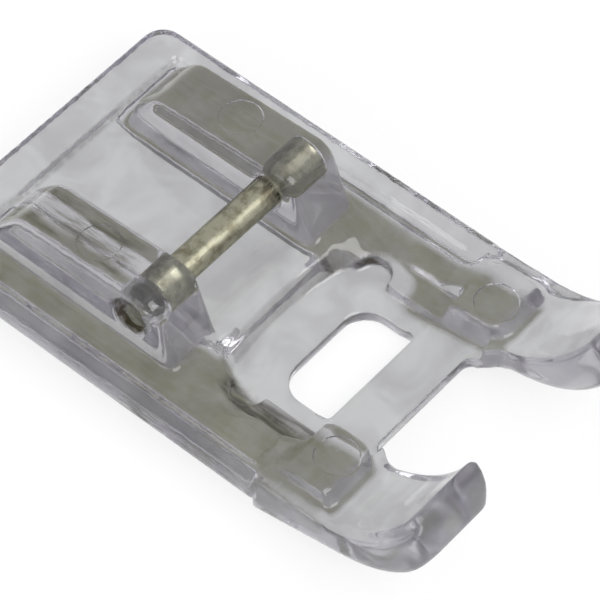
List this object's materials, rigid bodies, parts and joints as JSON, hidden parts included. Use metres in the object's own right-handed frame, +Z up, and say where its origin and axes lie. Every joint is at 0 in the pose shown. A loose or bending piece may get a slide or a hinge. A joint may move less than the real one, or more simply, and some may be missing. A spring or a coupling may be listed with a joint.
{
  "type": "sewing machine presser foot",
  "caption": "Clear clip-on presser foot with upturned open toes, a wide needle slot, a stitch channel under the sole and a steel cross pin held between lugs.",
  "frame": {"origin": "middle of the footprint, at the level of the flat sole", "axes": "+X to the sewer's right, +Y from the toes to the heel, +Z up from the fabric"},
  "size_m": [0.0226, 0.0396, 0.0093],
  "materials": {
    "clear_plastic": "polished clear plastic",
    "pin_steel": "drawn wire, slightly dull"
  },
  "bodies": {
    "root": {"foot_body": "clear_plastic", "snap_pin": "pin_steel"}
  },
  "joints": []
}
